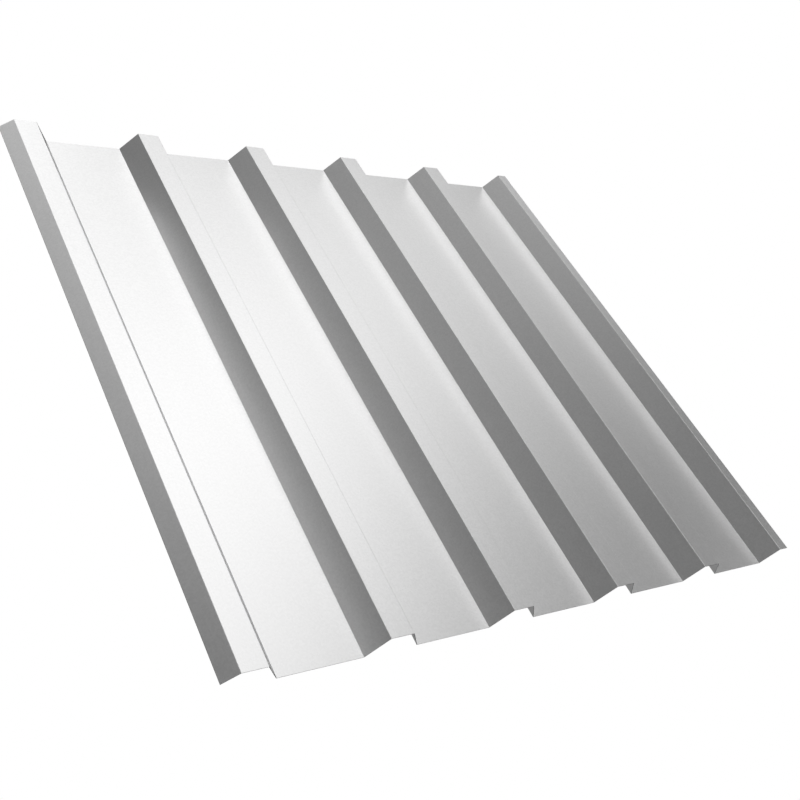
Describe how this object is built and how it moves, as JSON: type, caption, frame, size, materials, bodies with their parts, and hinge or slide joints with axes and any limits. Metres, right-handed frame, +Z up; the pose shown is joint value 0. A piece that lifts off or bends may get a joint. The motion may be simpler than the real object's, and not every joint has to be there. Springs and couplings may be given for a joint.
{
  "type": "corrugated metal sheet",
  "caption": "Trapezoidal corrugated steel roofing or cladding sheet with wide flat pans, a flared lap edge on its first rib and a short lap lip on its last.",
  "frame": {"origin": "middle of the sheet's outline, on the level of the pans' undersides", "axes": "+X across the ribs towards the lap lip, +Y along the ribs, +Z up out of the crests' tops"},
  "size_m": [1.0756, 0.991, 0.0353],
  "materials": {
    "sheet_metal": "plain zinc-coated steel, satin, neutral grey"
  },
  "bodies": {
    "root": {"profiled_sheet": "sheet_metal"}
  },
  "joints": []
}
